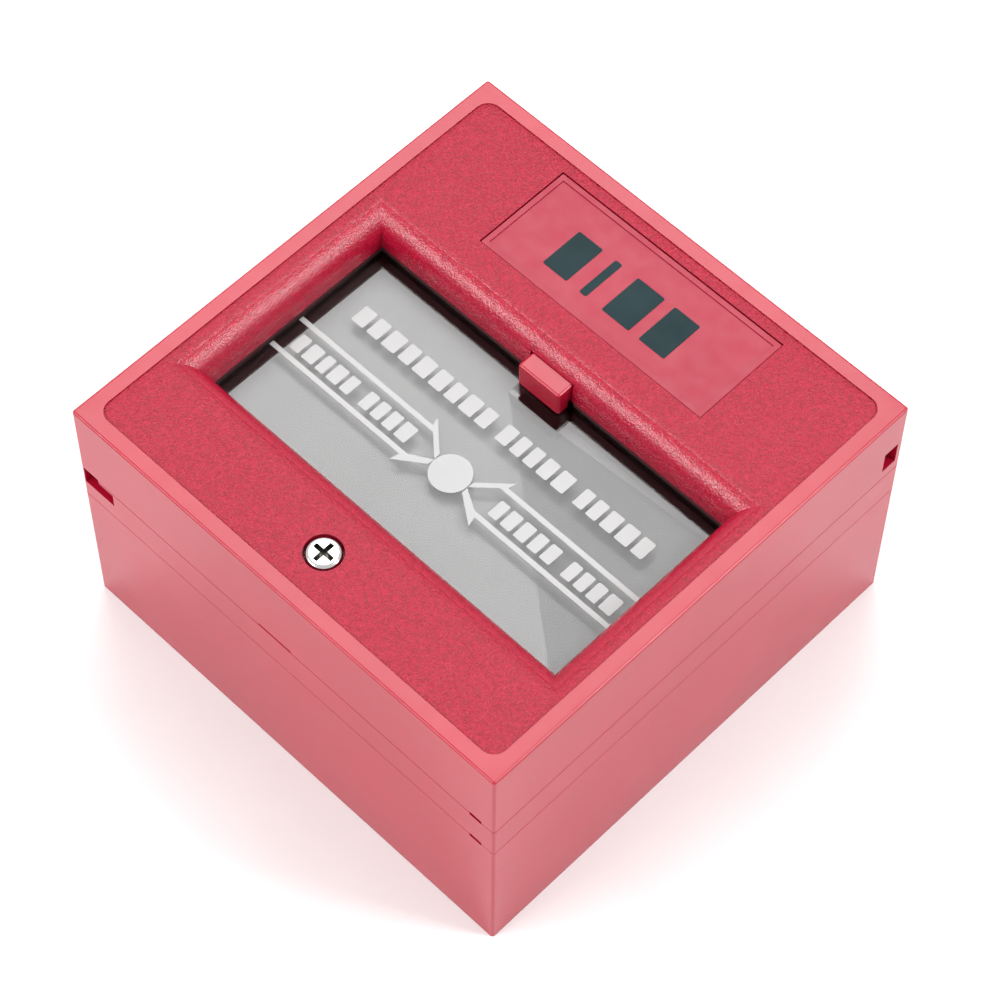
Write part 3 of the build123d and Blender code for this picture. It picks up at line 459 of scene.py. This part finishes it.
finish_piece("board_tracks", bm, "track", "casing")


# ---------------------------------------------------------------------- stage
LIGHT_AIM = Vector((0, 0, 0.04))


def light(name, direction, distance, size_x, size_y, radiance):
    """A soft box that faces the object from a direction."""
    data = bpy.data.lights.new(name, "AREA")
    data.shape = "RECTANGLE"
    data.size, data.size_y = size_x, size_y
    data.energy = radiance * math.pi * size_x * size_y
    obj = bpy.data.objects.new(name, data)
    back = Vector(direction).normalized()
    obj.location = LIGHT_AIM + back * distance
    obj.rotation_mode = "QUATERNION"
    obj.rotation_quaternion = back.to_track_quat("Z", "Y")
    bpy.context.scene.collection.objects.link(obj)


light("softbox_top", (-0.364, 0.375, 0.852), 0.75, 0.42, 0.42, 4.3)
light("softbox_left", (-0.36, -0.74, 0.56), 0.9, 0.60, 0.22, 12.0)
light("softbox_right", (0.66, 0.38, 0.65), 0.9, 0.22, 0.60, 12.0)

world = bpy.data.worlds.new("studio")
world.use_nodes = True
sky = world.node_tree.nodes["Background"].inputs
sky["Color"].default_value = (1.0, 1.0, 1.0, 1)
sky["Strength"].default_value = 0.88
bpy.context.scene.world = world

FLOOR = 4.0                 # half its side
FLOOR_CORNER_R = 1.0
FLOOR_BOTTOM, FLOOR_TOP = -20 * MM, -0.05 * MM
bm = bmesh.new()
prism(bm, rounded(-FLOOR, FLOOR, -FLOOR, FLOOR, FLOOR_CORNER_R), FLOOR_BOTTOM, FLOOR_TOP)
mesh = bpy.data.meshes.new("floor")
bmesh.ops.recalc_face_normals(bm, faces=bm.faces)
bm.to_mesh(mesh)
bm.free()
floor = bpy.data.objects.new("floor", mesh)
mesh.materials.append(solid("floor_paint", (0.85, 0.85, 0.85), 0.75, vary=0.01))
bpy.context.scene.collection.objects.link(floor)
floor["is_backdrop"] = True

CAM_PLACE = Vector((0.18797, -0.19369, 0.46463))
CAM_AIM = Vector((0.00110, 0.00101, 0.025))
CAM_ROLL = math.radians(0.767)
CAM_LENS, CAM_SENSOR = 122.782, 36.0
cam_data = bpy.data.cameras.new("camera")
cam_data.lens, cam_data.sensor_width = CAM_LENS, CAM_SENSOR
cam_data.clip_start, cam_data.clip_end = 0.01, 50.0
cam = bpy.data.objects.new("camera", cam_data)
forward = (CAM_AIM - CAM_PLACE).normalized()
flat_right = forward.cross(Vector((0, 0, 1))).normalized()
flat_up = flat_right.cross(forward)
right = flat_right * math.cos(CAM_ROLL) + flat_up * math.sin(CAM_ROLL)
up = flat_up * math.cos(CAM_ROLL) - flat_right * math.sin(CAM_ROLL)
cam.matrix_world = Matrix((
    (right.x, up.x, -forward.x, CAM_PLACE.x),
    (right.y, up.y, -forward.y, CAM_PLACE.y),
    (right.z, up.z, -forward.z, CAM_PLACE.z),
    (0, 0, 0, 1),
))
bpy.context.scene.collection.objects.link(cam)
bpy.context.scene.camera = cam
bpy.context.scene.view_settings.view_transform = "Standard"

low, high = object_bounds()
